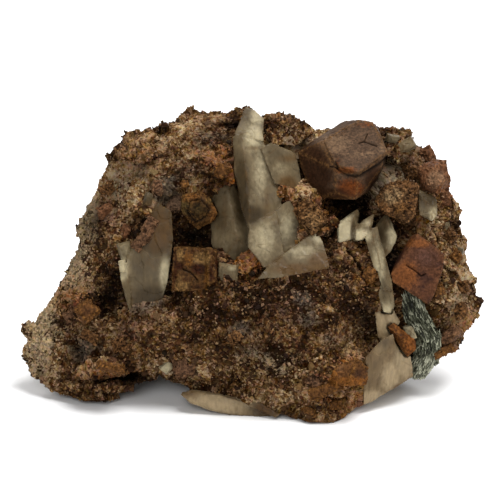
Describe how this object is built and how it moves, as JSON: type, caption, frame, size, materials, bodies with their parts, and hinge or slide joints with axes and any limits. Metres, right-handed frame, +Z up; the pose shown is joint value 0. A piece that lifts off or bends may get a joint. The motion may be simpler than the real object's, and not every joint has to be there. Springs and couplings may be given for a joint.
{
  "type": "garnet mineral specimen",
  "caption": "Broken hand specimen of massive brown garnet set with garnet crystals, pale calcite blades and a green fibrous spray, lying on its broken underside.",
  "frame": {"origin": "on the surface that the specimen lies on, under the middle of its bounding box", "axes": "+Z up, +X to the right along the specimen's length as seen from the display side, -Y towards the display side, whose face leans back by 20 degrees"},
  "size_m": [0.0892, 0.0504, 0.055],
  "materials": {
    "massive_garnet": "granular broken garnet, dark brown with golden and black grains",
    "dark_garnet": "satin crystal faces, purplish brown with orange edges",
    "red_garnet": "satin crystal faces, red-brown",
    "brown_garnet": "satin crystal faces, olive-brown core and orange rim",
    "amber_garnet": "glossy amber-brown crystal faces",
    "calcite": "translucent grey calcite with glossy cleavage faces",
    "stained_calcite": "translucent calcite with brown stain, satin",
    "amphibole": "silky green-grey fibres"
  },
  "bodies": {
    "root": {"massive_garnet": "massive_garnet", "garnet_crystal_top": "dark_garnet", "garnet_crystal_right": "red_garnet", "garnet_crystal_lens": "red_garnet", "garnet_crystal_rust": "red_garnet", "garnet_crystal_shoulder": "red_garnet", "garnet_crystal_zoned": "brown_garnet", "garnet_crystal_chunk": "brown_garnet", "garnet_crystal_amber": "amber_garnet", "calcite_blades_middle": "calcite", "calcite_blades_right": "calcite", "calcite_slab_left": "calcite", "calcite_chip": "calcite", "calcite_corner": "stained_calcite", "calcite_foot": "stained_calcite", "amphibole_spray": "amphibole"}
  },
  "joints": []
}
